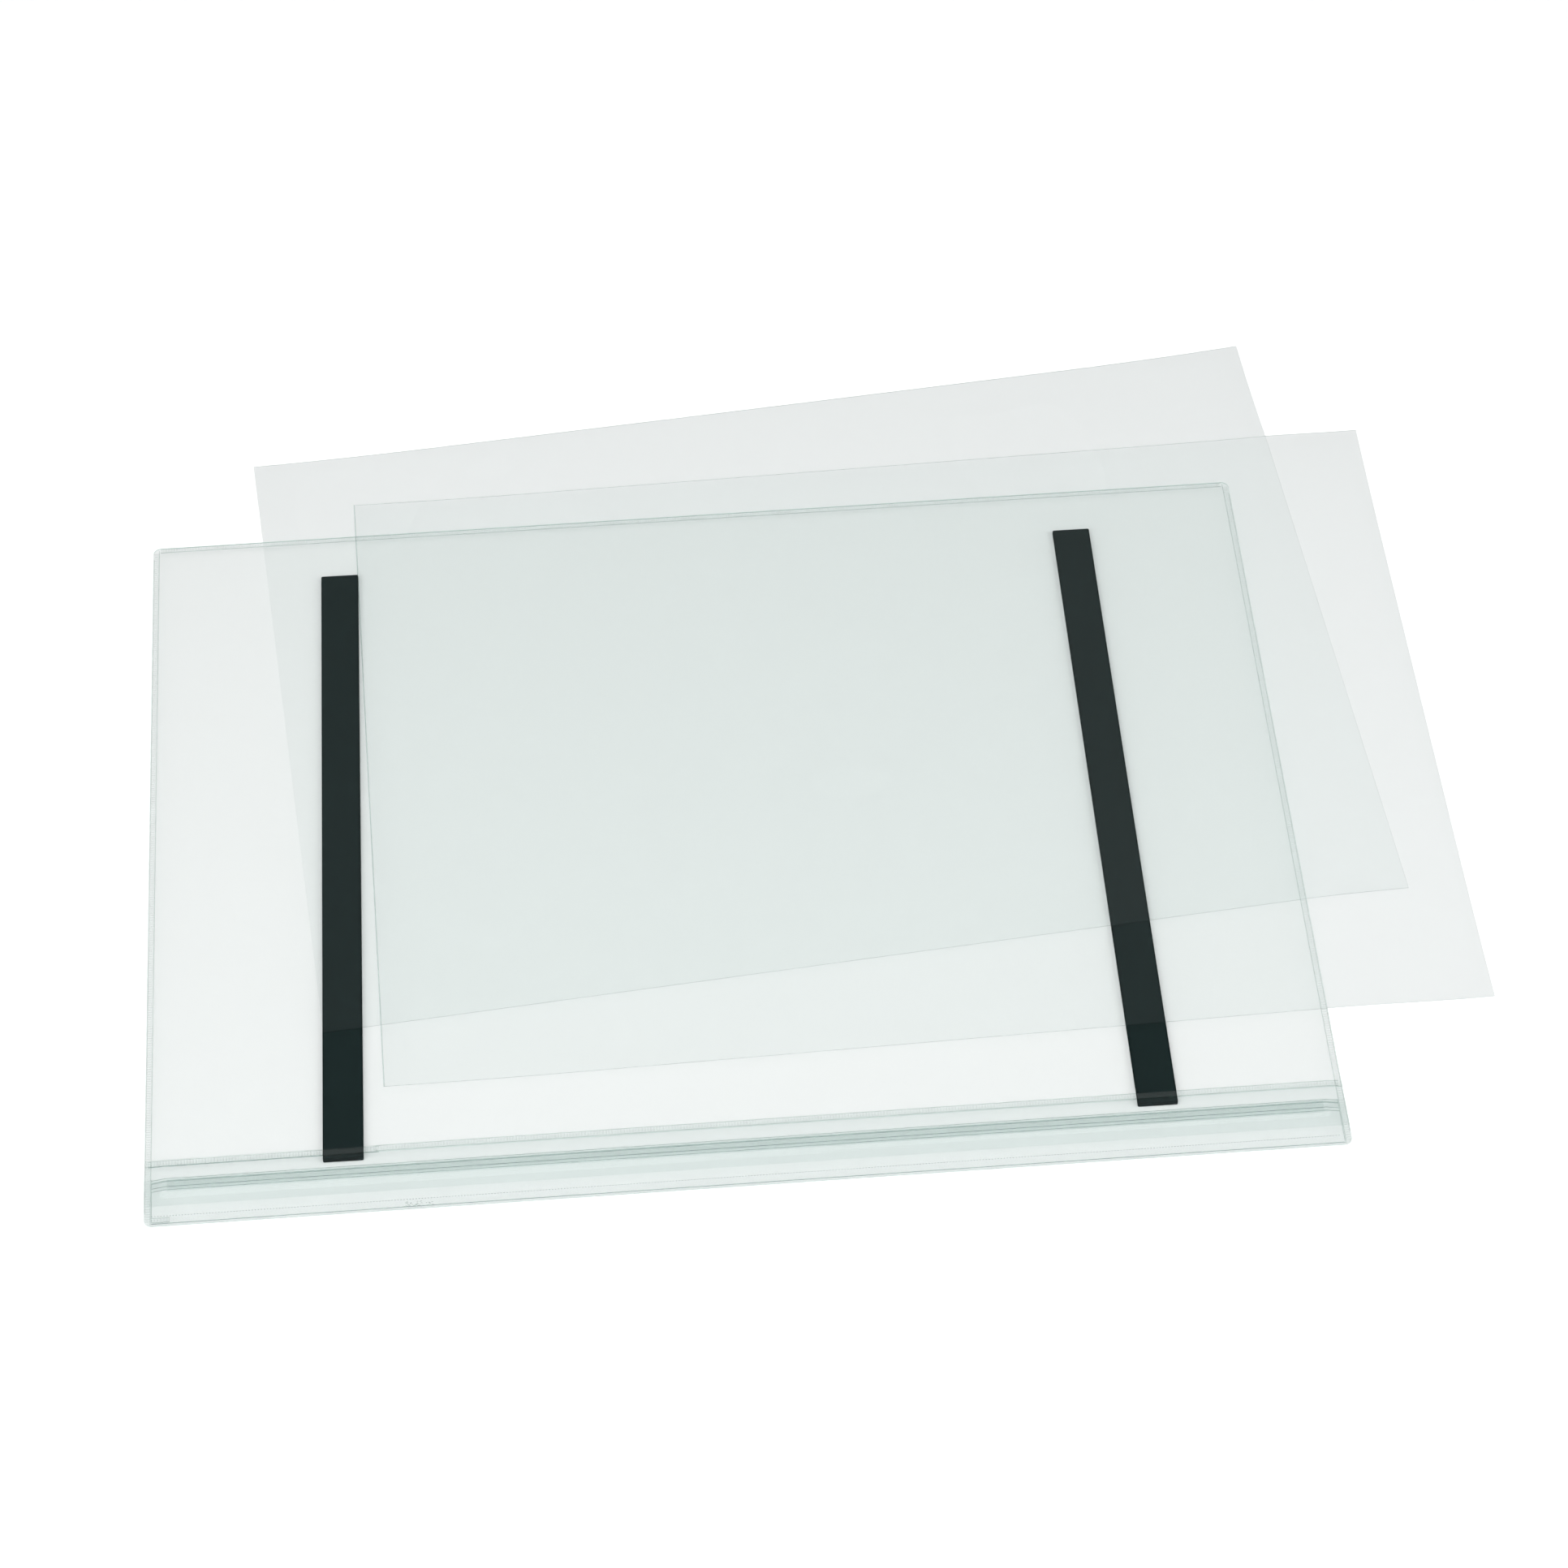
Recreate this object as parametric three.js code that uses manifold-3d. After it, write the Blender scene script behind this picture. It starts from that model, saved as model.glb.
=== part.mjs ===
// A clear document pocket held to a steel surface by two magnetic strips, with two A3 insert sheets lying on it.
// Millimetres. X runs along the pocket's width and Y towards its closed top edge. Z points up from the
// surface that the strips hold to. The origin lies on that surface, under the middle of the pocket.
import * as THREE from "three";
import { mergeVertices } from "three/addons/utils/BufferGeometryUtils.js";
import Module from "manifold-3d";

// The pocket, cut from two films
const POCKET_WIDTH = 445;
const POCKET_HEIGHT = 335;
const CORNER_RADIUS = 3;
const FILM_THICKNESS = 0.25;
const INSIDE_HEIGHT = 0.25; // free height under the front film, at the closure's upper tape

// The pressed weld seams round the films, and the slope by which the front film leaves them
const SIDE_WELD_WIDTH = 2.5;
const TOP_WELD_WIDTH = 2.5;
const WELD_SLOPE_RUN = 4;

// The press-seal closure along the lower edge. Places are distances from the pocket's lower edge.
const CHANNEL_PLACE = 17.2;
const CLOSURE_WELD_PLACE = 27.5;
const FILM_OVERLAP = 3; // how far the front film lies over the upper tape, round the closure weld
const TAPE_THICKNESS = 0.25;
const LIP_LENGTH = 8.8; // from the channel's middle to the free edge of the upper tape
const LIP_OPENING = 0.25; // between the lip's underside and the lower tape
const LOWER_TAPE_MARGIN = 3.2; // from the channel's middle to the inner edge of the lower tape

// The interlocking profile: a hooked channel on the lower tape, an arrow-headed rib on the upper one
const CHANNEL_WIDTH = 2.5;
const CHANNEL_DEPTH = 1.1;
const CHANNEL_WALL = 0.35;
const HOOK_REACH = 0.25;
const HOOK_HEIGHT = 0.35;
const HEAD_WIDTH = 1.3;
const HEAD_HEIGHT = 0.45;
const STEM_WIDTH = 0.5;
const PROFILE_CLEARANCE = 0.1;
const GUIDE_RIB_WIDTH = 0.4;
const GUIDE_RIB_PLACE = 2.2; // from the channel's middle to each guide rib's middle
const PROFILE_END_INSET = 2; // from the weld slope to the crushed ends of the profile
const RIB_ROOT = 0.1; // how deep a rib's root reaches into its tape

// The magnetic strips and their double-sided tape, behind the back film
const MAGNET_WIDTH = 15;
const MAGNET_LENGTH = 290;
const MAGNET_THICKNESS = 1.5;
const MAGNET_CORNER_RADIUS = 0.6;
const ADHESIVE_THICKNESS = 0.25;
const ADHESIVE_MARGIN = 0.5; // between the tape's outline and the strip's
const MAGNET_TOP_INSET = 20.5; // from the pocket's top edge to the strips' upper ends
const LEFT_MAGNET_INSET = 74.6; // from the pocket's left edge to the strip's middle
const RIGHT_MAGNET_INSET = 68.6; // from the pocket's right edge to the strip's middle
const LEFT_MAGNET_TURN = -0.6;
const RIGHT_MAGNET_TURN = -0.25;

// The insert sheets, placed by their lower left corners from the pocket's lower left corner
const SHEET_WIDTH = 420;
const SHEET_HEIGHT = 297;
const SHEET_THICKNESS = 0.15;
const SHEET_CLEARANCE = 0.3; // air under each sheet
const LOWER_SHEET_CORNER = { x: 66.6, y: 81.7 };
const LOWER_SHEET_TURN = 4.9;
const UPPER_SHEET_CORNER = { x: 88.9, y: 53.8 };
const UPPER_SHEET_TURN = 1.2;
const DROOP_RUN = 70; // how far past the pocket's edge a sheet comes down to the surface

// How finely curved stretches are divided
const ARC_STEPS = 6;
const SLOPE_STEPS = 4;
const SHEET_CELL = 15;

const wasm = await Module();
wasm.setup();

const rightEdge = POCKET_WIDTH / 2;
const leftEdge = -rightEdge;
const topEdge = POCKET_HEIGHT / 2;
const bottomEdge = -topEdge;

// Heights of the stacked layers
const backFilmUnderside = MAGNET_THICKNESS + ADHESIVE_THICKNESS;
const backFilmTop = backFilmUnderside + FILM_THICKNESS;
const lowerTapeTop = backFilmTop + TAPE_THICKNESS;
const upperTapeWelded = backFilmTop + INSIDE_HEIGHT;
const upperTapeRaised = lowerTapeTop + CHANNEL_DEPTH + PROFILE_CLEARANCE;
const frontFilmUnderside = upperTapeWelded + TAPE_THICKNESS;
const lowerSheetUnderside = frontFilmUnderside + FILM_THICKNESS + SHEET_CLEARANCE;
const upperSheetUnderside = lowerSheetUnderside + SHEET_THICKNESS + SHEET_CLEARANCE;

// Places along Y in the closure
const channelY = bottomEdge + CHANNEL_PLACE;
const closureWeldY = bottomEdge + CLOSURE_WELD_PLACE;
const frontFilmEdge = closureWeldY - FILM_OVERLAP / 2;
const upperTapeEdge = closureWeldY + FILM_OVERLAP / 2;
const lowerTapeEdge = channelY + LOWER_TAPE_MARGIN;
const guideReach = GUIDE_RIB_PLACE + GUIDE_RIB_WIDTH / 2;
const profileEnd = rightEdge - SIDE_WELD_WIDTH - WELD_SLOPE_RUN - PROFILE_END_INSET;

const film = { color: 0xeaf1ee, roughness: 0.12, metalness: 0, transparent: true, opacity: 0.45 };
const materials = {
  film: new THREE.MeshStandardMaterial(film),
  tape: new THREE.MeshStandardMaterial({ ...film, color: 0xdfe9e6, opacity: 0.6 }),
  sheet: new THREE.MeshStandardMaterial({ ...film, color: 0xe6edeb, roughness: 0.35 }),
  magnet: new THREE.MeshStandardMaterial({ color: 0x1c2828, roughness: 0.6, metalness: 0 }),
  adhesive: new THREE.MeshStandardMaterial({ color: 0xd8dcd9, roughness: 0.5, metalness: 0 }),
};

// A smooth step from 0 to 1 with level ends.
function ease(share) {
  const t = THREE.MathUtils.clamp(share, 0, 1);
  return t * t * (3 - 2 * t);
}

// The height at a place on a line of rising [place, height] stops, with a smooth slope between each two.
function heightAt(stops, place) {
  const next = stops.findIndex(([at]) => at >= place);
  if (next === 0) return stops[0][1];
  if (next < 0) return stops.at(-1)[1];
  const [fromPlace, fromHeight] = stops[next - 1];
  const [toPlace, toHeight] = stops[next];
  const share = ease((place - fromPlace) / (toPlace - fromPlace));
  return fromHeight + (toHeight - fromHeight) * share;
}

// The places where a sheet needs vertices: every stop, and steps between two that differ in height.
function stationsOf(...stopLists) {
  const places = stopLists.flatMap((stops) =>
    stops.flatMap(([place, height], i) => {
      if (i === 0 || height === stops[i - 1][1]) return [place];
      const from = stops[i - 1][0];
      return Array.from({ length: SLOPE_STEPS }, (_, k) => from + ((place - from) * (k + 1)) / SLOPE_STEPS);
    }),
  );
  const sorted = places.sort((a, b) => a - b);
  return sorted.filter((place, i) => i === 0 || place - sorted[i - 1] > 1e-3);
}

// Evenly spaced places from 0 to a length.
function evenStations(length, cell) {
  const count = Math.ceil(length / cell);
  return Array.from({ length: count + 1 }, (_, i) => (length * i) / count);
}

// A thin sheet over a grid of X and Y places, whose underside lies at underside(x, y).
function sheetGeometry(xs, ys, underside, thickness) {
  const rows = ys.length;
  const layer = xs.length * rows;
  const positions = [];
  for (const lift of [0, thickness]) {
    for (const x of xs) {
      for (const y of ys) positions.push(x, y, underside(x, y) + lift);
    }
  }
  const indices = [];
  const quad = (a, b, c, d) => indices.push(a, b, c, a, c, d);
  for (let i = 0; i + 1 < xs.length; i++) {
    for (let j = 0; j + 1 < rows; j++) {
      const corner = i * rows + j;
      quad(corner, corner + 1, corner + rows + 1, corner + rows);
      quad(corner + layer, corner + layer + rows, corner + layer + rows + 1, corner + layer + 1);
    }
  }
  const wall = (from, to) => quad(from, to, to + layer, from + layer);
  const lastRow = (xs.length - 1) * rows;
  for (let i = 0; i + 1 < xs.length; i++) {
    wall(i * rows, (i + 1) * rows);
    wall((i + 2) * rows - 1, (i + 1) * rows - 1);
  }
  for (let j = 0; j + 1 < rows; j++) {
    wall(j + 1, j);
    wall(lastRow + j, lastRow + j + 1);
  }
  const geometry = new THREE.BufferGeometry();
  geometry.setAttribute("position", new THREE.Float32BufferAttribute(positions, 3));
  geometry.setIndex(indices);
  return geometry;
}

// A rectangle with round corners, centred on the origin.
function roundedOutline(width, height, radius) {
  const x = width / 2 - radius;
  const y = height / 2 - radius;
  const quarter = Math.PI / 2;
  const shape = new THREE.Shape();
  shape.absarc(x, -y, radius, -quarter, 0);
  shape.absarc(x, y, radius, 0, quarter);
  shape.absarc(-x, y, radius, quarter, 2 * quarter);
  shape.absarc(-x, -y, radius, 2 * quarter, 3 * quarter);
  shape.closePath();
  return shape;
}

// A flat plate standing on height 0.
function plateGeometry(width, height, radius, thickness) {
  const outline = roundedOutline(width, height, radius);
  return new THREE.ExtrudeGeometry(outline, { depth: thickness, bevelEnabled: false, curveSegments: ARC_STEPS });
}

// A bar along X with the section given by its corners [y, z].
function barGeometry(corners, halfLength) {
  const section = new THREE.Shape(corners.map(([y, z]) => new THREE.Vector2(y, z)));
  const bar = new THREE.ExtrudeGeometry(section, { depth: 2 * halfLength, bevelEnabled: false });
  const alongX = new THREE.Matrix4().makeBasis(
    new THREE.Vector3(0, 1, 0),
    new THREE.Vector3(0, 0, 1),
    new THREE.Vector3(1, 0, 0),
  );
  return bar.applyMatrix4(alongX).translate(-halfLength, 0, 0);
}

function solidOf(geometry) {
  const bare = geometry.clone();
  bare.deleteAttribute("normal");
  bare.deleteAttribute("uv");
  const merged = mergeVertices(bare, 1e-4);
  const vertProperties = merged.getAttribute("position").array;
  const triVerts = new Uint32Array(merged.index.array);
  return new wasm.Manifold(new wasm.Mesh({ numProp: 3, vertProperties, triVerts }));
}

function geometryOf(solid) {
  const mesh = solid.getMesh();
  const geometry = new THREE.BufferGeometry();
  geometry.setAttribute("position", new THREE.BufferAttribute(mesh.vertProperties, 3));
  geometry.setIndex(new THREE.BufferAttribute(mesh.triVerts, 1));
  return geometry;
}

function namedMesh(name, geometry, material) {
  const flat = geometry.index ? geometry.toNonIndexed() : geometry;
  flat.computeVertexNormals();
  const mesh = new THREE.Mesh(flat, material);
  mesh.name = name;
  return mesh;
}

// The outline that the die cuts through all the welded layers.
const dieReach = 4 * (upperTapeRaised + TAPE_THICKNESS);
const die = solidOf(
  plateGeometry(POCKET_WIDTH, POCKET_HEIGHT, CORNER_RADIUS, 2 * dieReach).translate(0, 0, -dieReach),
);
const blankEdge = rightEdge + SIDE_WELD_WIDTH; // uncut films reach past the side welds
const blankTop = topEdge + TOP_WELD_WIDTH;

// How far the layers have parted at a place across the pocket: 0 in the side welds, 1 between them.
const slopeFoot = rightEdge - SIDE_WELD_WIDTH;
const slopeHead = slopeFoot - WELD_SLOPE_RUN;
const partingStops = [
  [-blankEdge, 0],
  [-slopeFoot, 0],
  [-slopeHead, 1],
  [slopeHead, 1],
  [slopeFoot, 0],
  [blankEdge, 0],
];

// A film across the whole pocket, pressed to the welded heights at both sides and die-cut at its corners.
function pressedFilm(weldedStops, raisedStops, thickness) {
  const underside = (x, y) => {
    const welded = heightAt(weldedStops, y);
    return welded + (heightAt(raisedStops, y) - welded) * heightAt(partingStops, x);
  };
  const xs = stationsOf(partingStops);
  const ys = stationsOf(weldedStops, raisedStops);
  return solidOf(sheetGeometry(xs, ys, underside, thickness));
}

function backFilm() {
  const plate = plateGeometry(POCKET_WIDTH, POCKET_HEIGHT, CORNER_RADIUS, FILM_THICKNESS);
  const mesh = namedMesh("back_film", plate, materials.film);
  mesh.position.z = backFilmUnderside;
  return mesh;
}

function frontFilm() {
  const stepEnd = upperTapeEdge + SIDE_WELD_WIDTH;
  const weldedStops = [
    [frontFilmEdge, lowerTapeTop],
    [upperTapeEdge, lowerTapeTop],
    [stepEnd, backFilmTop],
    [blankTop, backFilmTop],
  ];
  const raisedStops = [
    [frontFilmEdge, frontFilmUnderside],
    [topEdge - TOP_WELD_WIDTH - WELD_SLOPE_RUN, frontFilmUnderside],
    [topEdge - TOP_WELD_WIDTH, backFilmTop],
    [blankTop, backFilmTop],
  ];
  const cut = pressedFilm(weldedStops, raisedStops, FILM_THICKNESS).intersect(die);
  return namedMesh("front_film", geometryOf(cut), materials.film);
}

// The two hooked walls that grip the rib's head, as one section each side of the channel.
function channelWall(side) {
  const outer = CHANNEL_WIDTH / 2;
  const inner = outer - CHANNEL_WALL;
  const tip = inner - HOOK_REACH;
  const root = lowerTapeTop - RIB_ROOT;
  const top = lowerTapeTop + CHANNEL_DEPTH;
  const section = [
    [outer, root],
    [outer, top - HOOK_HEIGHT],
    [inner, top],
    [tip, top - HOOK_HEIGHT / 2],
    [tip, top - HOOK_HEIGHT],
    [inner, top - HOOK_HEIGHT],
    [inner, root],
  ];
  const corners = section.map(([y, z]) => [channelY + side * y, z]);
  return barGeometry(side > 0 ? corners : corners.reverse(), profileEnd);
}

function lowerClosureTape() {
  const edge = bottomEdge - TOP_WELD_WIDTH;
  const level = [
    [edge, backFilmTop],
    [lowerTapeEdge, backFilmTop],
  ];
  const walls = [-1, 1].map((side) => solidOf(channelWall(side)));
  const tape = pressedFilm(level, level, TAPE_THICKNESS).add(walls[0]).add(walls[1]).intersect(die);
  return namedMesh("lower_closure_tape", geometryOf(tape), materials.tape);
}

// The rib that snaps into the channel: a stem with an arrow head, point down.
function arrowRib() {
  const root = upperTapeRaised + RIB_ROOT;
  const point = lowerTapeTop + PROFILE_CLEARANCE;
  const barb = point + HEAD_HEIGHT;
  const half = STEM_WIDTH / 2;
  const corners = [
    [channelY + half, root],
    [channelY - half, root],
    [channelY - half, barb],
    [channelY - HEAD_WIDTH / 2, barb],
    [channelY - half, point],
    [channelY + half, point],
    [channelY + HEAD_WIDTH / 2, barb],
    [channelY + half, barb],
  ];
  return barGeometry(corners, profileEnd);
}

// A plain rib beside the channel, which keeps the tapes parallel.
function guideRib(side) {
  const middle = channelY + side * GUIDE_RIB_PLACE;
  const low = lowerTapeTop + PROFILE_CLEARANCE;
  const high = upperTapeRaised + RIB_ROOT;
  const corners = [
    [middle - GUIDE_RIB_WIDTH / 2, low],
    [middle + GUIDE_RIB_WIDTH / 2, low],
    [middle + GUIDE_RIB_WIDTH / 2, high],
    [middle - GUIDE_RIB_WIDTH / 2, high],
  ];
  return barGeometry(corners, profileEnd);
}

function upperClosureTape() {
  const lipEdge = channelY - LIP_LENGTH;
  const lipHeight = lowerTapeTop + LIP_OPENING;
  const weldedStops = [
    [lipEdge, lowerTapeTop],
    [lowerTapeEdge, lowerTapeTop],
    [(lowerTapeEdge + frontFilmEdge) / 2, backFilmTop],
    [upperTapeEdge, backFilmTop],
  ];
  const raisedStops = [
    [lipEdge, lipHeight],
    [(lipEdge + channelY - guideReach) / 2, lipHeight],
    [channelY - guideReach, upperTapeRaised],
    [channelY + guideReach, upperTapeRaised],
    [frontFilmEdge, upperTapeWelded],
    [upperTapeEdge, upperTapeWelded],
  ];
  const ribs = [arrowRib(), guideRib(-1), guideRib(1)].map(solidOf);
  const tape = ribs.reduce((all, rib) => all.add(rib), pressedFilm(weldedStops, raisedStops, TAPE_THICKNESS));
  return namedMesh("upper_closure_tape", geometryOf(tape.intersect(die)), materials.tape);
}

// A magnetic strip with its double-sided tape, turned about the middle of its upper end.
function magnetAssembly(side, x, turn) {
  const strip = plateGeometry(MAGNET_WIDTH, MAGNET_LENGTH, MAGNET_CORNER_RADIUS, MAGNET_THICKNESS);
  const magnet = namedMesh(`${side}_magnet_strip`, strip, materials.magnet);
  const tape = plateGeometry(
    MAGNET_WIDTH - 2 * ADHESIVE_MARGIN,
    MAGNET_LENGTH - 2 * ADHESIVE_MARGIN,
    MAGNET_CORNER_RADIUS,
    ADHESIVE_THICKNESS,
  );
  const adhesive = namedMesh(`${side}_adhesive_tape`, tape, materials.adhesive);
  adhesive.position.z = MAGNET_THICKNESS;
  const assembly = new THREE.Group();
  assembly.add(magnet, adhesive);
  assembly.position.set(x, topEdge - MAGNET_TOP_INSET - MAGNET_LENGTH / 2, 0);
  assembly.rotation.z = THREE.MathUtils.degToRad(turn);
  return assembly;
}

// An insert sheet that lies level on the pocket and comes down past its edges.
function insertSheet(name, corner, turn, restHeight) {
  const group = new THREE.Group();
  group.position.set(leftEdge + corner.x, bottomEdge + corner.y, 0);
  group.rotation.z = THREE.MathUtils.degToRad(turn);
  group.updateMatrix();
  const fall = lowerSheetUnderside;
  const underside = (x, y) => {
    const at = new THREE.Vector3(x, y, 0).applyMatrix4(group.matrix);
    const past = Math.max(at.x - rightEdge, leftEdge - at.x, at.y - topEdge, bottomEdge - at.y);
    return restHeight - fall * ease(past / DROOP_RUN);
  };
  const xs = evenStations(SHEET_WIDTH, SHEET_CELL);
  const ys = evenStations(SHEET_HEIGHT, SHEET_CELL);
  group.add(namedMesh(name, sheetGeometry(xs, ys, underside, SHEET_THICKNESS), materials.sheet));
  return group;
}

const pocket = new THREE.Group();
pocket.add(backFilm(), frontFilm(), lowerClosureTape(), upperClosureTape());

const magnets = new THREE.Group();
magnets.add(
  magnetAssembly("left", leftEdge + LEFT_MAGNET_INSET, LEFT_MAGNET_TURN),
  magnetAssembly("right", rightEdge - RIGHT_MAGNET_INSET, RIGHT_MAGNET_TURN),
);

const inserts = new THREE.Group();
inserts.add(
  insertSheet("lower_insert_sheet", LOWER_SHEET_CORNER, LOWER_SHEET_TURN, lowerSheetUnderside),
  insertSheet("upper_insert_sheet", UPPER_SHEET_CORNER, UPPER_SHEET_TURN, upperSheetUnderside),
);

const group = new THREE.Group();
group.add(pocket, magnets, inserts);

export default group;
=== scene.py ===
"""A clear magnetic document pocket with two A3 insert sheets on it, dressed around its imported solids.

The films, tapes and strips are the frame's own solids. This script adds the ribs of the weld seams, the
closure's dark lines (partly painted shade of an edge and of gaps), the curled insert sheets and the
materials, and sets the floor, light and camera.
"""

import math
import random

import bmesh
import bpy
from mathutils import Matrix, Vector
from mathutils.bvhtree import BVHTree


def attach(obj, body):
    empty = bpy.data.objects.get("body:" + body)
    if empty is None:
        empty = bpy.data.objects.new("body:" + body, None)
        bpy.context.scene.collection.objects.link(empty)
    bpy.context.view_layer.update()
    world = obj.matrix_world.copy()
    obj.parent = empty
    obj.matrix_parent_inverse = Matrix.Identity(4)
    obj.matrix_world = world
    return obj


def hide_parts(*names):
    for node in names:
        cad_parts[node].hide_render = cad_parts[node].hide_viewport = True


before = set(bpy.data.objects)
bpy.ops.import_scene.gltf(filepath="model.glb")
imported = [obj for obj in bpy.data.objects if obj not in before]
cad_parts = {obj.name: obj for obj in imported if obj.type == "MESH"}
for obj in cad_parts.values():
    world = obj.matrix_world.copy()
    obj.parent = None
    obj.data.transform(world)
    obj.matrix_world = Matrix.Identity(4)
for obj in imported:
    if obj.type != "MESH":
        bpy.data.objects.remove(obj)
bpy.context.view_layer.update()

MM = 0.001
ROOT = "root"

# The camera, in millimetres and degrees
CAMERA_PLACE = (-47.91, -1109.59, 1383.97)
CAMERA_AIM = (26.42, 21.33, 2.0)
CAMERA_ROLL = -0.827
CAMERA_LENS = 104.308
SENSOR_WIDTH = 36

# The floor and the light, in metres
FLOOR_SIZE = 12
FLOOR_HEIGHT = -0.0002
FLOOR_LIFT = 0.26  # added to what the camera sees of the bare floor, so that it reads as white
WORLD_STRENGTH = 0.09
WORLD_SEEN_STRENGTH = 1.0
SOFTBOXES = (  # name, place, side and power in watts
    ("overhead", (-0.1, -0.35, 2.2), 1.6, 35.5),
    ("left_front", (-1.7, -1.2, 1.4), 1.4, 19.5),
    ("right_front", (1.9, -0.9, 1.3), 1.4, 18),
)

# How often light passes clear layers and bounces. A ray crosses many films and sheets here
CLEAR_LAYERS = 40
BOUNCES = 3

# Sizes in millimetres and degrees, as in the part. Places count from the pocket's middle
POCKET_WIDTH = 445
POCKET_HEIGHT = 335
CORNER_RADIUS = 3
CLOSURE_WELD_PLACE = 27.5  # from the pocket's lower edge

# The strips' fine bevel
STRIP_BEVEL = 0.25
STRIP_BEVEL_SEGMENTS = 2

# The height above everything from which rays look for the solids' upper surface
RAY_START = 50

# The welded seams
SEAM_OUTER = 0.35
SEAM_WIDTH = 2.1
SIDE_SEAM_FOOT = 0.6  # from the pocket's lower edge
SEAM_LAP_PLACE = -136  # where the closure's weld was laid in two goes
SEAM_LAP = 1.5
CLOSURE_SEAM_WIDTH = 2.4
CLOSURE_SEAM_STEP = 0.4
LOWER_SEAM_ENDS = ((-219.6, -165.1), (-212.9, -165.1))  # only its left end stands out
LOWER_SEAM_WIDTH = 2.0

# A seam's ribs. The stations go across the seam: share of the half width, and 1 for the crest or 0 for
# the foot
RIB_PITCH = 1.11
RIB_SHARE = 0.84
RIB_HEIGHT = 0.14
RIB_SINK = 0.02
RIB_STEPS = 6
RIB_STATIONS = ((-1, 0), (-0.9, 1), (0.9, 1), (1, 0))
RIB_ROUNDING = 0.4
RIB_LEAST_RISE = 0.01

# Beads, the low ridges of film. The profile goes across: share of the half width, and share of the height
BEAD_WIDTH = 0.3
BEAD_HEIGHT = 0.14
BEAD_STEP = 5
BEAD_PROFILE = ((-1, -0.2), (-0.5, 0.8), (0.5, 0.8), (1, -0.2))

# The closure's dark lines: how far up and how wide. The lowest, by the pocket's lower edge, is painted shade
# for that edge's shadow
CLOSURE_LINES = ((-147.9, 0.16), (-149.0, 0.75), (-151.4, 0.16), (-152.8, 0.16), (-166.6, 0.35))
# The dark lines up the closure's ends are painted shade for the gaps where the lip is not welded to the
# sides
LINE_END = 219.7
END_LINE_LOW = -166
END_LINE_LENGTH = 18.5
END_LINE_WIDTH = 0.2
DASH_PLACE = -163.4
DASH_SHARE = 0.45
DASH_WIDTH = 0.16

# The untidy start of the lower edge's weld. The turns are in radians
WELD_START_BEADS = 34
WELD_START_SEED = 7
WELD_START_ACROSS = (-127.5, -117)
WELD_START_UP = (-166.6, -164.6)
WELD_START_TURNS = (-0.6, 0.8)
WELD_START_LENGTHS = (0.3, 1.1)
WELD_START_WIDTHS = (0.15, 0.4)

# The insert sheets
SHEET_SIZE = (420, 297)
SHEET_THICKNESS = 0.15
SHEET_CELL = 7
SHEET_FALL = 3.05
DROOP_RUN = 70
CURL_REACH = 75
BURR_WIDTH = 0.45
BURR_HEIGHT = 0.04
BURR_SINK = 0.02

# Each sheet's piece, its solid, its lower left corner counted from the pocket's, its turn, how high it
# rests, how high its corners curl, and whether it keeps the burr of its cut
SHEETS = (
    (
        "lower_sheet",
        "lower_insert_sheet",
        (66.6, 81.7),
        4.9,
        3.05,
        {(0, 1): 1.5, (1, 1): 1.8},
        False,
    ),
    (
        "upper_sheet",
        "upper_insert_sheet",
        (88.9, 53.8),
        1.2,
        3.5,
        {(0, 0): 1.2, (1, 0): 1.7, (0, 1): 1.0, (1, 1): 1.8},
        True,
    ),
)

# The solids that stay as they are, and the slot of each
SLOTS = {
    "back_film": "pocket_film",
    "front_film": "pocket_film",
    "lower_closure_tape": "closure_tape",
    "upper_closure_tape": "closure_tape",
    "left_magnet_strip": "magnet_strip",
    "right_magnet_strip": "magnet_strip",
    "left_adhesive_tape": "adhesive",
    "right_adhesive_tape": "adhesive",
}


def srgb(code):
    """The linear colour of a six-digit hex code."""
    channels = [int(code[i : i + 2], 16) / 255 for i in (0, 2, 4)]
    linear = [c / 12.92 if c <= 0.04045 else ((c + 0.055) / 1.055) ** 2.4 for c in channels]
    return (*linear, 1.0)


# Colours, linear
WHITE = (1.0, 1.0, 1.0, 1.0)
FLOOR_COLOUR = (0.91, 0.92, 0.918, 1.0)
RUBBER_DARK = srgb("0d1919")
RUBBER_PALE = srgb("162424")
ADHESIVE_DARK = (0.006, 0.015, 0.015, 1.0)
ADHESIVE_PALE = (0.010, 0.021, 0.021, 1.0)
FILM_TINT = (0.990, 0.993, 0.992, 1.0)
# The edge and flank colours are painted shade: darker tints for steep faces, in place of the dark lines that
# refraction draws at cut edges and flanks
FILM_PAINTED_EDGE_SHADE = (0.72, 0.82, 0.79, 1.0)
TAPE_TINT = (0.966, 0.976, 0.974, 1.0)
TAPE_PAINTED_EDGE_SHADE = (0.93, 0.95, 0.945, 1.0)
SHEET_TINT = (0.982, 0.987, 0.986, 1.0)
SHEET_PAINTED_EDGE_SHADE = (0.40, 0.47, 0.46, 1.0)
# Painted shade: the burr's darker tint draws the dark line along the sheet's cut edge
BURR_PAINTED_SHADE_TINT = (0.86, 0.89, 0.885, 1.0)
WELD_TINT = (0.995, 0.998, 0.997, 1.0)
WELD_PAINTED_FLANK_SHADE = (0.84, 0.865, 0.86, 1.0)
# Painted shade: the beads take a darker tint and darker flanks for the dark lines along the seams' sides
BEAD_PAINTED_SHADE_TINT = (0.93, 0.945, 0.94, 1.0)
BEAD_PAINTED_FLANK_SHADE = (0.74, 0.78, 0.77, 1.0)
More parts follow.
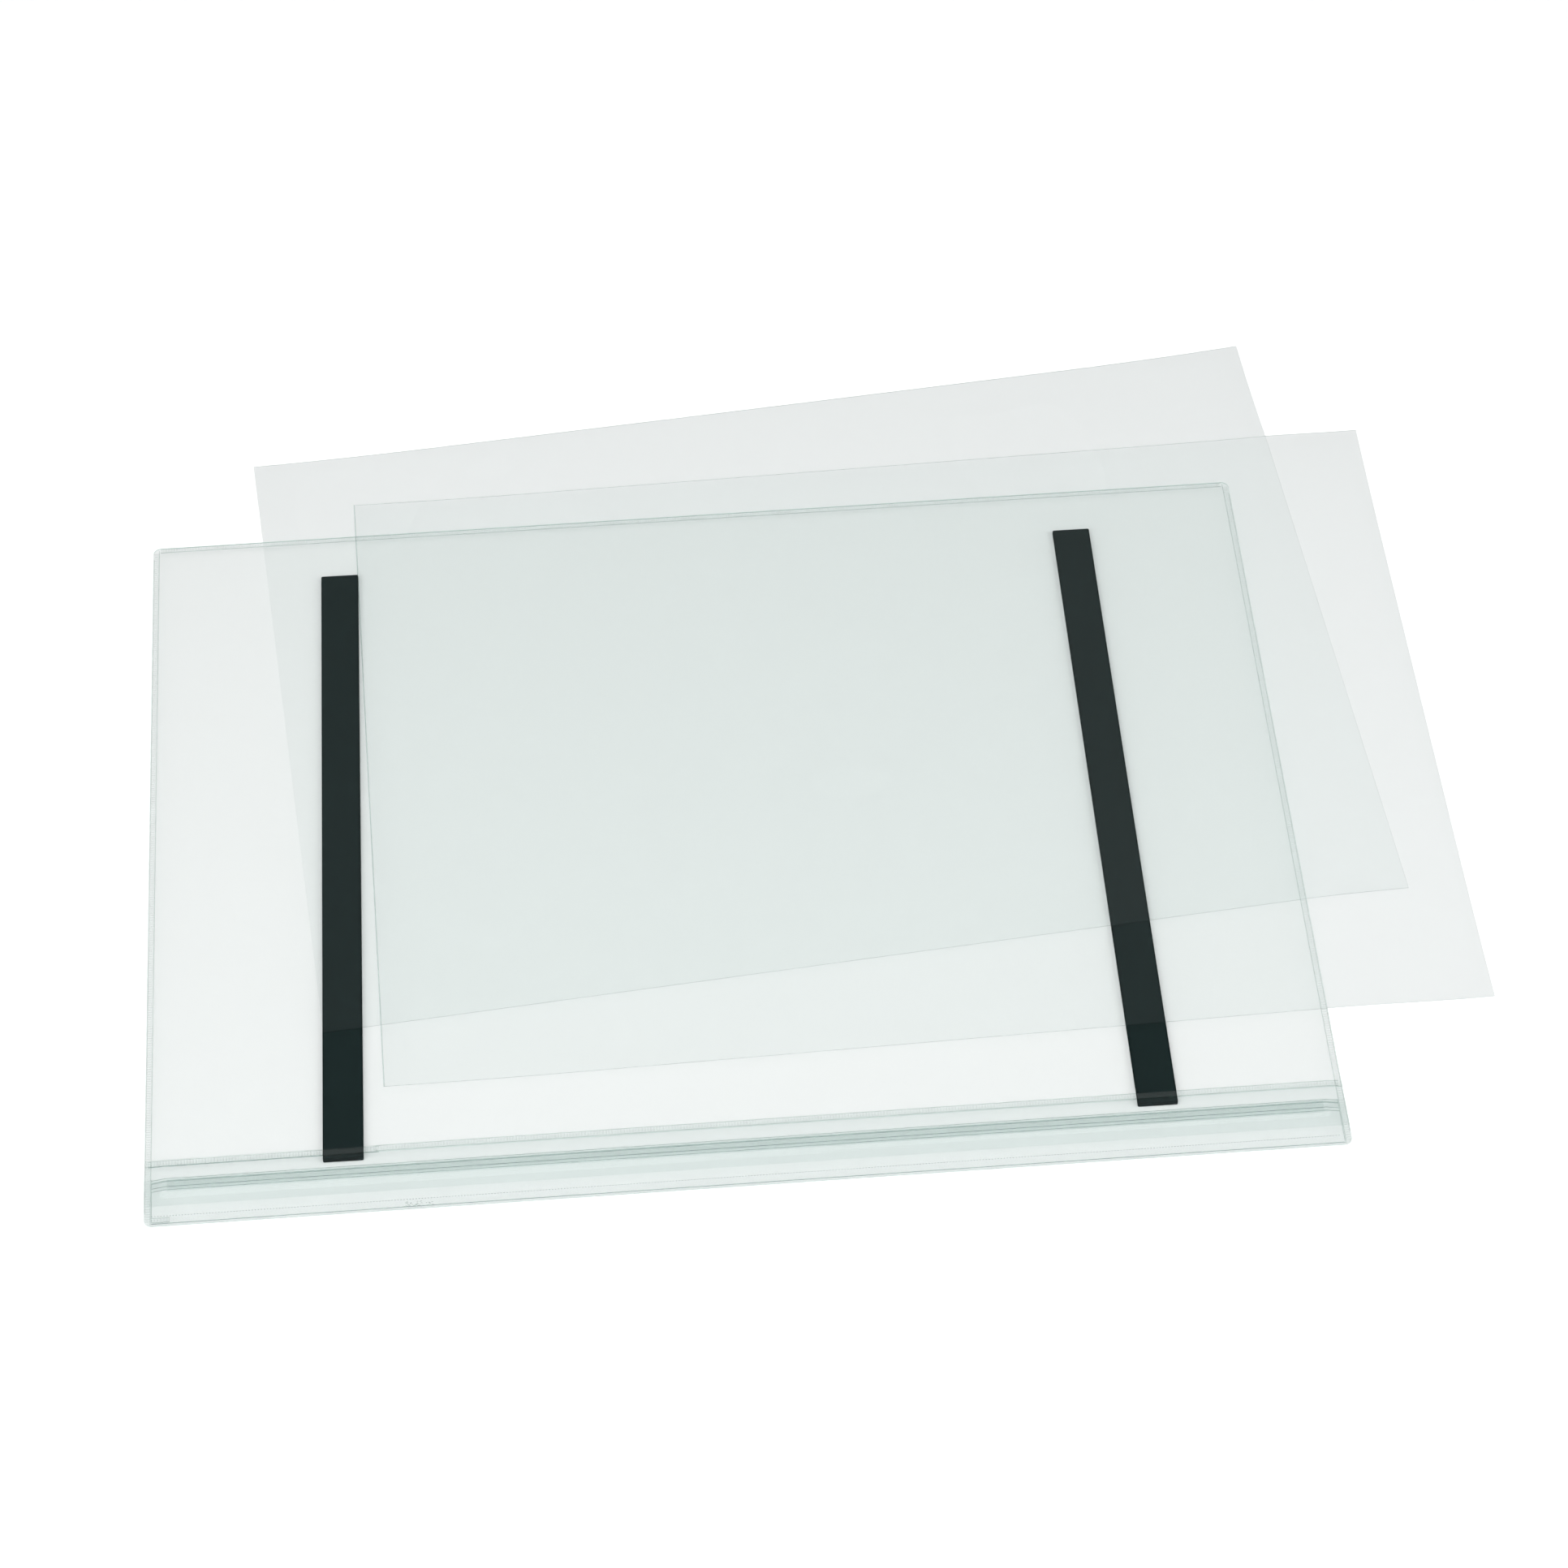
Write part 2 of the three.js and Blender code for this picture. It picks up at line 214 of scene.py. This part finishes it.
# The closure lines' darker tint and flanks are painted shade where the lines stand for an edge's shadow or a
# gap
LINE_TINT_WITH_PAINTED_SHADE = (0.84, 0.88, 0.87, 1.0)
LINE_PAINTED_FLANK_SHADE = (0.42, 0.50, 0.49, 1.0)
FROST = srgb("eef3f1")

# Clear plastics: tint, edge tint (painted shade: a darker tint for steep faces), lean where the edge tint
# starts and is full, IOR, roughness, frost, ripple and the ripple's scale
CLEAR_LOOKS = {
    "pocket_film": (FILM_TINT, FILM_PAINTED_EDGE_SHADE, 0.15, 0.8, 1.22, 0.06, 0.0, 0.12, 14.0),
    "closure_tape": (TAPE_TINT, TAPE_PAINTED_EDGE_SHADE, 0.15, 0.8, 1.3, 0.1, 0.01, 0.2, 30.0),
    "insert_sheet": (SHEET_TINT, SHEET_PAINTED_EDGE_SHADE, 0.3, 0.8, 1.22, 0.3, 0.007, 0.03, 8.0),
    "weld_ribs": (WELD_TINT, WELD_PAINTED_FLANK_SHADE, 0.01, 0.25, 1.2, 0.3, 0.025, 0.1, 60.0),
    "weld_beads": (BEAD_PAINTED_SHADE_TINT, BEAD_PAINTED_FLANK_SHADE, 0.01, 0.3, 1.2, 0.2, 0.0, 0.1, 60.0),
    "sheet_burr": (BURR_PAINTED_SHADE_TINT, SHEET_PAINTED_EDGE_SHADE, 0.1, 0.8, 1.22, 0.2, 0.0, 0.1, 60.0),
    "closure_line": (LINE_TINT_WITH_PAINTED_SHADE, LINE_PAINTED_FLANK_SHADE, 0.01, 0.4, 1.3, 0.15, 0.0, 0.1, 60.0),
}
ROUGHNESS_SPREAD = (0.7, 1.3)  # shares of a clear plastic's roughness, between which it varies
FROST_ROUGHNESS = 0.3

# Sockets of a Mix node that mixes colours
MIX_FACTOR = 0
MIX_FIRST = 6
MIX_SECOND = 7
MIX_RESULT = 2


# Node trees


def tree_of(name):
    """A new material, its node tree and its output's surface socket."""
    material = bpy.data.materials.new(name)
    material.use_nodes = True
    tree = material.node_tree
    tree.nodes.clear()
    output = tree.nodes.new("ShaderNodeOutputMaterial")
    return material, tree, output.inputs["Surface"]


def feed(tree, socket, value):
    """Link a socket to another node's socket, or set its value."""
    if isinstance(value, bpy.types.NodeSocket):
        tree.links.new(value, socket)
    else:
        socket.default_value = value


def node(tree, kind, settings=(), **inputs):
    """A node of that kind. Inputs are values or other nodes' sockets, with _ for a space in their names."""
    made = tree.nodes.new("ShaderNode" + kind)
    for key, value in dict(settings).items():
        setattr(made, key, value)
    for key, value in inputs.items():
        feed(tree, made.inputs[key.replace("_", " ")], value)
    return made


def math_node(tree, operation, a, b=0.0, clamp=False):
    """The result socket of a Math node on two values or sockets."""
    made = node(tree, "Math", {"operation": operation, "use_clamp": clamp})
    feed(tree, made.inputs[0], a)
    feed(tree, made.inputs[1], b)
    return made.outputs[0]


def mix_shaders(tree, factor, first, second):
    mixed = node(tree, "MixShader", Fac=factor)
    tree.links.new(first.outputs[0], mixed.inputs[1])
    tree.links.new(second.outputs[0], mixed.inputs[2])
    return mixed


def mix_colours(tree, factor, first, second):
    mixed = node(tree, "Mix", {"data_type": "RGBA"})
    feed(tree, mixed.inputs[MIX_FACTOR], factor)
    feed(tree, mixed.inputs[MIX_FIRST], first)
    feed(tree, mixed.inputs[MIX_SECOND], second)
    return mixed.outputs[MIX_RESULT]


def position_of(tree):
    return node(tree, "NewGeometry").outputs["Position"]


def steepness(tree):
    """How far a face leans from level: 0 when level, 1 when upright."""
    normal = node(tree, "NewGeometry").outputs["Normal"]
    parts = node(tree, "SeparateXYZ", Vector=normal)
    level = math_node(tree, "ABSOLUTE", parts.outputs["Z"])
    return math_node(tree, "SUBTRACT", 1.0, level, clamp=True)


def entering(tree):
    """1 where a ray comes in from outside, and 0 where it leaves or only casts a shadow."""
    backfacing = node(tree, "NewGeometry").outputs["Backfacing"]
    shadowing = node(tree, "LightPath").outputs["Is Shadow Ray"]
    skipped = math_node(tree, "MAXIMUM", backfacing, shadowing)
    return math_node(tree, "SUBTRACT", 1.0, skipped)


def varied_roughness(tree, noise, low, high):
    """A roughness between low and high that follows the noise."""
    mapped = node(tree, "MapRange", Value=noise.outputs["Fac"], To_Min=low, To_Max=high)
    return mapped.outputs["Result"]


# Materials


def clear_plastic(
    name, tint, painted_edge_shade, painted_shade_start, painted_shade_end, ior, roughness, frost, ripple, ripple_scale
):
    """Clear sheet plastic: see-through, shiny where a ray enters it, and darker on cut edges and flanks,
    which is painted shade.
    """
    material, tree, surface = tree_of(name)
    place = position_of(tree)
    waves = node(tree, "TexNoise", Vector=place, Scale=ripple_scale, Detail=1.0, Roughness=0.4)
    bump = node(tree, "Bump", Strength=ripple, Distance=0.001, Height=waves.outputs["Fac"])
    # Painted shade: steep faces, such as cut edges and the flanks of ribs, beads and lines, take the darker
    # edge tint
    edge = node(
        tree,
        "MapRange",
        {"interpolation_type": "SMOOTHSTEP"},
        Value=steepness(tree),
        From_Min=painted_shade_start,
        From_Max=painted_shade_end,
    )
    colour = mix_colours(tree, edge.outputs["Result"], tint, painted_edge_shade)
    through = node(tree, "BsdfTransparent", Color=colour)
    low, high = (roughness * share for share in ROUGHNESS_SPREAD)
    shine = node(
        tree,
        "BsdfGlossy",
        Color=WHITE,
        Roughness=varied_roughness(tree, waves, low, high),
        Normal=bump.outputs["Normal"],
    )
    frosting = node(tree, "BsdfDiffuse", Color=FROST, Roughness=FROST_ROUGHNESS)
    fresnel = node(tree, "Fresnel", IOR=ior)
    outside = entering(tree)
    shining = math_node(tree, "MULTIPLY", outside, fresnel.outputs["Fac"])
    frosted = math_node(tree, "MULTIPLY", outside, frost)
    clear = mix_shaders(tree, frosted, through, frosting)
    whole = mix_shaders(tree, shining, clear, shine)
    tree.links.new(whole.outputs[0], surface)
    return material


def magnetic_rubber():
    """Matt black-green magnetic rubber, calendered along its length, with fine pale grains."""
    material, tree, surface = tree_of("magnetic_rubber")
    place = position_of(tree)
    stretch = node(tree, "Mapping", Vector=place, Scale=(1.0, 0.06, 1.0))
    lines = node(tree, "TexNoise", Vector=stretch.outputs["Vector"], Scale=1800.0, Detail=2.0)
    grains = node(tree, "TexNoise", Vector=place, Scale=2600.0, Detail=3.0, Roughness=0.7)
    cloud = node(tree, "TexNoise", Vector=place, Scale=40.0, Detail=3.0)
    relief = math_node(tree, "ADD", lines.outputs["Fac"], grains.outputs["Fac"])
    bump = node(tree, "Bump", Strength=0.25, Distance=0.0001, Height=relief)
    rubber = node(
        tree,
        "BsdfPrincipled",
        Base_Color=mix_colours(tree, cloud.outputs["Fac"], RUBBER_DARK, RUBBER_PALE),
        Roughness=varied_roughness(tree, grains, 0.7, 0.95),
        Specular_IOR_Level=0.05,
        Normal=bump.outputs["Normal"],
    )
    tree.links.new(rubber.outputs[0], surface)
    return material


def adhesive_tape():
    """Thin dark transfer tape with a faint crepe. It lies on the strips, so the camera sees it first."""
    material, tree, surface = tree_of("adhesive_tape")
    place = position_of(tree)
    crepe = node(tree, "TexNoise", Vector=place, Scale=900.0, Detail=2.0)
    bump = node(tree, "Bump", Strength=0.2, Distance=0.0001, Height=crepe.outputs["Fac"])
    tape = node(
        tree,
        "BsdfPrincipled",
        Base_Color=mix_colours(tree, crepe.outputs["Fac"], ADHESIVE_DARK, ADHESIVE_PALE),
        Roughness=varied_roughness(tree, crepe, 0.6, 0.85),
        Specular_IOR_Level=0.1,
        Normal=bump.outputs["Normal"],
    )
    tree.links.new(tape.outputs[0], surface)
    return material


def make_looks():
    """The materials by name."""
    looks = {name: clear_plastic(name, *values) for name, values in CLEAR_LOOKS.items()}
    looks["magnet_strip"] = magnetic_rubber()
    looks["adhesive"] = adhesive_tape()
    return looks


def dress_nodes(looks):
    """The solids that stay as they are take their materials, and the strips a fine bevel."""
    for name, slot in SLOTS.items():
        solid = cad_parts[name]
        solid.data.materials.clear()
        solid.data.materials.append(looks[slot])
        if slot == "magnet_strip":
            bevel = solid.modifiers.new("worn_edges", "BEVEL")
            bevel.width = STRIP_BEVEL * MM
            bevel.segments = STRIP_BEVEL_SEGMENTS


# Meshes


def mesh_object(name, mesh, look):
    """An object of the finished bmesh, with its material."""
    data = bpy.data.meshes.new(name)
    mesh.to_mesh(data)
    mesh.free()
    data.materials.append(look)
    made = bpy.data.objects.new(name, data)
    bpy.context.scene.collection.objects.link(made)
    return made


def bridge(mesh, first, second, closed=True):
    """Faces between two rows of vertices. Closed rows are rings, whose ends join too."""
    for k in range(len(first) if closed else len(first) - 1):
        after = (k + 1) % len(first)
        mesh.faces.new((first[k], second[k], second[after], first[after]))


def solid_surface():
    """The solids' upper surface, for setting the ribs and lines on it."""
    joined = bmesh.new()
    for name in ("back_film", "front_film", "lower_closure_tape", "upper_closure_tape"):
        joined.from_mesh(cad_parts[name].data)
    tree = BVHTree.FromBMesh(joined)
    joined.free()
    return tree


def height_on(surface, x, y):
    """The upper surface's height there, all in millimetres, or None beside the pocket."""
    hit = surface.ray_cast(Vector((x, y, RAY_START)) * MM, Vector((0, 0, -1)))[0]
    return None if hit is None else hit.z / MM


# Weld seams and the closure's lines


def add_rib(mesh, surface, middle, along, across, width):
    """One weld rib, a low mound that runs across the seam, its foot just inside the film."""
    if height_on(surface, *middle) is None:
        return
    half = RIB_PITCH * RIB_SHARE / 2
    rows = []
    for i in range(RIB_STEPS + 1):
        s = 2 * i / RIB_STEPS - 1
        row = []
        for t, crest in RIB_STATIONS:
            x = middle[0] + along[0] * s * half + across[0] * t * width / 2
            y = middle[1] + along[1] * s * half + across[1] * t * width / 2
            foot = height_on(surface, x, y)
            if foot is None:
                return
            rise = crest * math.cos(s * math.pi / 2) ** RIB_ROUNDING
            z = foot + (RIB_HEIGHT * rise if rise > RIB_LEAST_RISE else -RIB_SINK)
            row.append(mesh.verts.new(Vector((x, y, z)) * MM))
        rows.append(row)
    for first, second in zip(rows, rows[1:]):
        bridge(mesh, first, second, closed=False)
    near = [row[0] for row in rows]
    far = [row[-1] for row in reversed(rows[:-1])]
    rim = near + rows[-1][1:] + far + rows[0][-2:0:-1]
    mesh.faces.new(rim)


def bead_ring(mesh, surface, middle, across, offset, width):
    """The vertices of a bead's section, or None where part of it lies beside the pocket."""
    ring = []
    for t, rise in BEAD_PROFILE:
        x = middle[0] + across[0] * (offset + t * width / 2)
        y = middle[1] + across[1] * (offset + t * width / 2)
        foot = height_on(surface, x, y)
        if foot is None:
            return None
        ring.append(mesh.verts.new(Vector((x, y, foot + rise * BEAD_HEIGHT)) * MM))
    return ring


def add_bead(mesh, surface, start, along, across, length, offset, width=BEAD_WIDTH):
    """A low ridge of film, such as the line of squeezed-out film along one side of a seam."""
    count = max(1, round(length / BEAD_STEP))
    rings = []
    for i in range(count + 1):
        middle = [start[k] + along[k] * length * i / count for k in (0, 1)]
        rings.append(bead_ring(mesh, surface, middle, across, offset, width))
    for first, second in zip(rings, rings[1:]):
        if first is not None and second is not None:
            bridge(mesh, first, second)
    if rings[0] is not None:
        mesh.faces.new(list(reversed(rings[0])))
    if rings[-1] is not None:
        mesh.faces.new(rings[-1])


def make_seam(name, surface, looks, start, end, width):
    """A weld seam between two points: a row of ribs between two beads."""
    run = Vector(end) - Vector(start)
    length = run.length
    along = run / length
    across = Vector((-along.y, along.x))
    mesh = bmesh.new()
    for i in range(int(length / RIB_PITCH)):
        middle = Vector(start) + along * (i + 0.5) * RIB_PITCH
        add_rib(mesh, surface, middle, along, across, width)
    ribs = len(mesh.faces)
    for side in (-1, 1):
        add_bead(mesh, surface, start, along, across, length, side * width / 2)
    mesh.faces.ensure_lookup_table()
    for face in mesh.faces[ribs:]:
        face.material_index = 1
    bmesh.ops.recalc_face_normals(mesh, faces=mesh.faces)
    seam = mesh_object(name, mesh, looks["weld_ribs"])
    seam.data.materials.append(looks["weld_beads"])
    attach(seam, ROOT)


def make_seams(looks):
    """The seams round the pocket and along the closure, each on the films as they lie."""
    surface = solid_surface()
    side = POCKET_WIDTH / 2 - SEAM_OUTER - SEAM_WIDTH / 2
    top = POCKET_HEIGHT / 2 - SEAM_OUTER - SEAM_WIDTH / 2
    foot = -POCKET_HEIGHT / 2 + SIDE_SEAM_FOOT
    closure = -POCKET_HEIGHT / 2 + CLOSURE_WELD_PLACE
    corner = POCKET_WIDTH / 2 - CORNER_RADIUS
    make_seam("top_seam", surface, looks, (-corner, top), (corner, top), SEAM_WIDTH)
    make_seam("left_seam", surface, looks, (-side, foot), (-side, top), SEAM_WIDTH)
    make_seam("right_seam", surface, looks, (side, foot), (side, top), SEAM_WIDTH)
    lapped = closure - CLOSURE_SEAM_STEP
    width = CLOSURE_SEAM_WIDTH
    overlap = SEAM_LAP_PLACE - SEAM_LAP
    make_seam("closure_seam_start", surface, looks, (-side, lapped), (SEAM_LAP_PLACE, lapped), width)
    make_seam("closure_seam", surface, looks, (overlap, closure), (side, closure), width)
    make_seam("lower_seam", surface, looks, *LOWER_SEAM_ENDS, LOWER_SEAM_WIDTH)


def make_lines(look):
    """Dark thin ridges along the closure, its lower edge and its ends. Those at the lower edge and the ends
    are painted shade, for the edge's shadow and for the gaps where the lip is not welded.
    """
    surface = solid_surface()
    mesh = bmesh.new()
    right, up = Vector((1, 0)), Vector((0, 1))
    for y, width in CLOSURE_LINES:
        add_bead(mesh, surface, (-LINE_END, y), right, up, 2 * LINE_END, 0, width)
    for x in (-LINE_END, LINE_END):
        add_bead(mesh, surface, (x, END_LINE_LOW), up, right, END_LINE_LENGTH, 0, END_LINE_WIDTH)
    for i in range(int(2 * LINE_END / RIB_PITCH)):
        start = (-LINE_END + i * RIB_PITCH, DASH_PLACE)
        add_bead(mesh, surface, start, right, up, RIB_PITCH * DASH_SHARE, 0, DASH_WIDTH)
    bmesh.ops.recalc_face_normals(mesh, faces=mesh.faces)
    lines = mesh_object("closure_lines", mesh, look)
    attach(lines, ROOT)


def make_weld_start(look):
    """The untidy beads where the lower edge's weld was begun."""
    surface = solid_surface()
    mesh = bmesh.new()
    rng = random.Random(WELD_START_SEED)
    for _ in range(WELD_START_BEADS):
        x = rng.uniform(*WELD_START_ACROSS)
        y = rng.uniform(*WELD_START_UP)
        turn = rng.uniform(*WELD_START_TURNS)
        along = Vector((math.cos(turn), math.sin(turn)))
        across = Vector((-along.y, along.x))
        length = rng.uniform(*WELD_START_LENGTHS)
        width = rng.uniform(*WELD_START_WIDTHS)
        add_bead(mesh, surface, (x, y), along, across, length, 0, width)
    bmesh.ops.recalc_face_normals(mesh, faces=mesh.faces)
    beads = mesh_object("weld_start", mesh, look)
    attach(beads, ROOT)


# Insert sheets


def ease(t):
    """A smooth way from 0 to 1, level at both ends and beyond them."""
    t = min(max(t, 0.0), 1.0)
    return t * t * (3 - 2 * t)


def sheet_place(corner, turn, rest, curls):
    """A function that gives the place u along a sheet, v up it and a lift above its lower face.

    The sheet lies where its solid lies and comes down past the pocket's edges like it. Its free corners
    curl up a little, each by the height in curls.
    """
    left, right = -POCKET_WIDTH / 2, POCKET_WIDTH / 2
    bottom, top = -POCKET_HEIGHT / 2, POCKET_HEIGHT / 2
    width, height = SHEET_SIZE
    angle = math.radians(turn)

    def place(u, v, lift):
        x = left + corner[0] + u * math.cos(angle) - v * math.sin(angle)
        y = bottom + corner[1] + u * math.sin(angle) + v * math.cos(angle)
        past = max(x - right, left - x, y - top, bottom - y)
        z = rest - SHEET_FALL * ease(past / DROOP_RUN)
        for (cu, cv), rise in curls.items():
            away = math.hypot(u - cu * width, v - cv * height)
            z += rise * max(0.0, 1 - away / CURL_REACH) ** 2
        return Vector((x, y, z + lift)) * MM

    return place


def sheet_stops(length):
    """The stops along one side of a sheet, a cell apart."""
    count = round(length / SHEET_CELL)
    return [length * i / count for i in range(count + 1)]


def make_sheet(name, node_name, look, place):
    """An insert sheet, smooth on both faces and sharp at its edges."""
    across, up = (sheet_stops(length) for length in SHEET_SIZE)
    columns, rows = len(across) - 1, len(up) - 1
    mesh = bmesh.new()
    low = [[mesh.verts.new(place(u, v, 0.0)) for v in up] for u in across]
    high = [[mesh.verts.new(place(u, v, SHEET_THICKNESS)) for v in up] for u in across]
    for i in range(columns):
        for j in range(rows):
            mesh.faces.new((low[i][j], low[i][j + 1], low[i + 1][j + 1], low[i + 1][j])).smooth = True
            mesh.faces.new((high[i][j], high[i + 1][j], high[i + 1][j + 1], high[i][j + 1])).smooth = True
    rim = [(i, 0) for i in range(columns)] + [(columns, j) for j in range(rows)]
    rim += [(i, rows) for i in range(columns, 0, -1)] + [(0, j) for j in range(rows, 0, -1)]
    for (a, b), (c, d) in zip(rim, rim[1:] + rim[:1]):
        wall = mesh.faces.new((low[a][b], low[c][d], high[c][d], high[a][b]))
        for edge in wall.edges:
            edge.smooth = False
    sheet = mesh_object(name, mesh, look)
    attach(sheet, ROOT)
    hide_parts(node_name)


def make_burr(name, look, place):
    """The thin raised line that the cut left along a sheet's left edge, tinted darker: painted shade for the
    dark line along that edge.
    """
    mesh = bmesh.new()
    low, high = SHEET_THICKNESS - BURR_SINK, SHEET_THICKNESS + BURR_HEIGHT
    section = ((0, low), (0, high), (BURR_WIDTH, high), (BURR_WIDTH, low))
    rings = [[mesh.verts.new(place(u, v, lift)) for u, lift in section] for v in sheet_stops(SHEET_SIZE[1])]
    for first, second in zip(rings, rings[1:]):
        bridge(mesh, first, second)
    mesh.faces.new(rings[0])
    mesh.faces.new(rings[-1])
    bmesh.ops.recalc_face_normals(mesh, faces=mesh.faces)
    burr = mesh_object(name, mesh, look)
    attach(burr, ROOT)


def make_sheets(looks):
    for name, node_name, corner, turn, rest, curls, burred in SHEETS:
        place = sheet_place(corner, turn, rest, curls)
        make_sheet(name, node_name, looks["insert_sheet"], place)
        if burred:
            make_burr(name + "_burr", looks["sheet_burr"], place)


# Floor, light and camera


def make_floor():
    """A pale matt floor. Where nothing lies over it, the camera sees it lifted to white, shadows and all."""
    bpy.ops.mesh.primitive_plane_add(size=FLOOR_SIZE, location=(0, 0, FLOOR_HEIGHT))
    floor = bpy.context.object
    floor.name = "floor"
    material, tree, surface = tree_of("floor")
    path = node(tree, "LightPath")
    bare = math_node(tree, "LESS_THAN", path.outputs["Transparent Depth"], 0.5)
    seen = math_node(tree, "MULTIPLY", bare, path.outputs["Is Camera Ray"])
    lift = math_node(tree, "MULTIPLY", seen, FLOOR_LIFT)
    matt = node(tree, "BsdfDiffuse", Color=FLOOR_COLOUR)
    glow = node(tree, "Emission", Color=WHITE, Strength=lift)
    both = node(tree, "AddShader")
    tree.links.new(matt.outputs[0], both.inputs[0])
    tree.links.new(glow.outputs[0], both.inputs[1])
    tree.links.new(both.outputs[0], surface)
    floor.data.materials.append(material)


def make_world():
    """An even pale surrounding. The camera sees it white, past the floor's far edge too."""
    world = bpy.data.worlds.new("studio")
    bpy.context.scene.world = world
    world.use_nodes = True
    tree = world.node_tree
    tree.nodes.clear()
    path = node(tree, "LightPath")
    more = WORLD_SEEN_STRENGTH - WORLD_STRENGTH
    reach = math_node(tree, "MULTIPLY", path.outputs["Is Camera Ray"], more)
    power = math_node(tree, "ADD", reach, WORLD_STRENGTH)
    light = node(tree, "Background", Color=WHITE, Strength=power)
    output = tree.nodes.new("ShaderNodeOutputWorld")
    tree.links.new(light.outputs[0], output.inputs["Surface"])


def add_softbox(name, place, size, power):
    """A square area light that points at the pocket's middle."""
    light = bpy.data.lights.new(name, "AREA")
    light.shape = "SQUARE"
    light.size = size
    light.energy = power
    lamp = bpy.data.objects.new(name, light)
    lamp.location = place
    lamp.rotation_euler = (-Vector(place)).to_track_quat("-Z", "Y").to_euler()
    bpy.context.scene.collection.objects.link(lamp)


def make_camera():
    camera = bpy.data.objects.new("camera", bpy.data.cameras.new("camera"))
    camera.data.lens = CAMERA_LENS
    camera.data.sensor_width = SENSOR_WIDTH
    place = Vector(CAMERA_PLACE) * MM
    back = (place - Vector(CAMERA_AIM) * MM).normalized()
    upright = back.to_track_quat("Z", "Y").to_matrix()
    rolled = upright @ Matrix.Rotation(math.radians(CAMERA_ROLL), 3, "Z")
    camera.matrix_world = Matrix.Translation(place) @ rolled.to_4x4()
    bpy.context.scene.collection.objects.link(camera)
    bpy.context.scene.camera = camera


scene = bpy.context.scene
scene.view_settings.view_transform = "Standard"
scene.cycles.transparent_max_bounces = CLEAR_LAYERS
scene.cycles.max_bounces = BOUNCES
scene.cycles.use_light_tree = False
make_camera()
make_floor()
make_world()
for softbox in SOFTBOXES:
    add_softbox(*softbox)
looks = make_looks()
dress_nodes(looks)
make_seams(looks)
make_lines(looks["closure_line"])
make_weld_start(looks["weld_beads"])
make_sheets(looks)
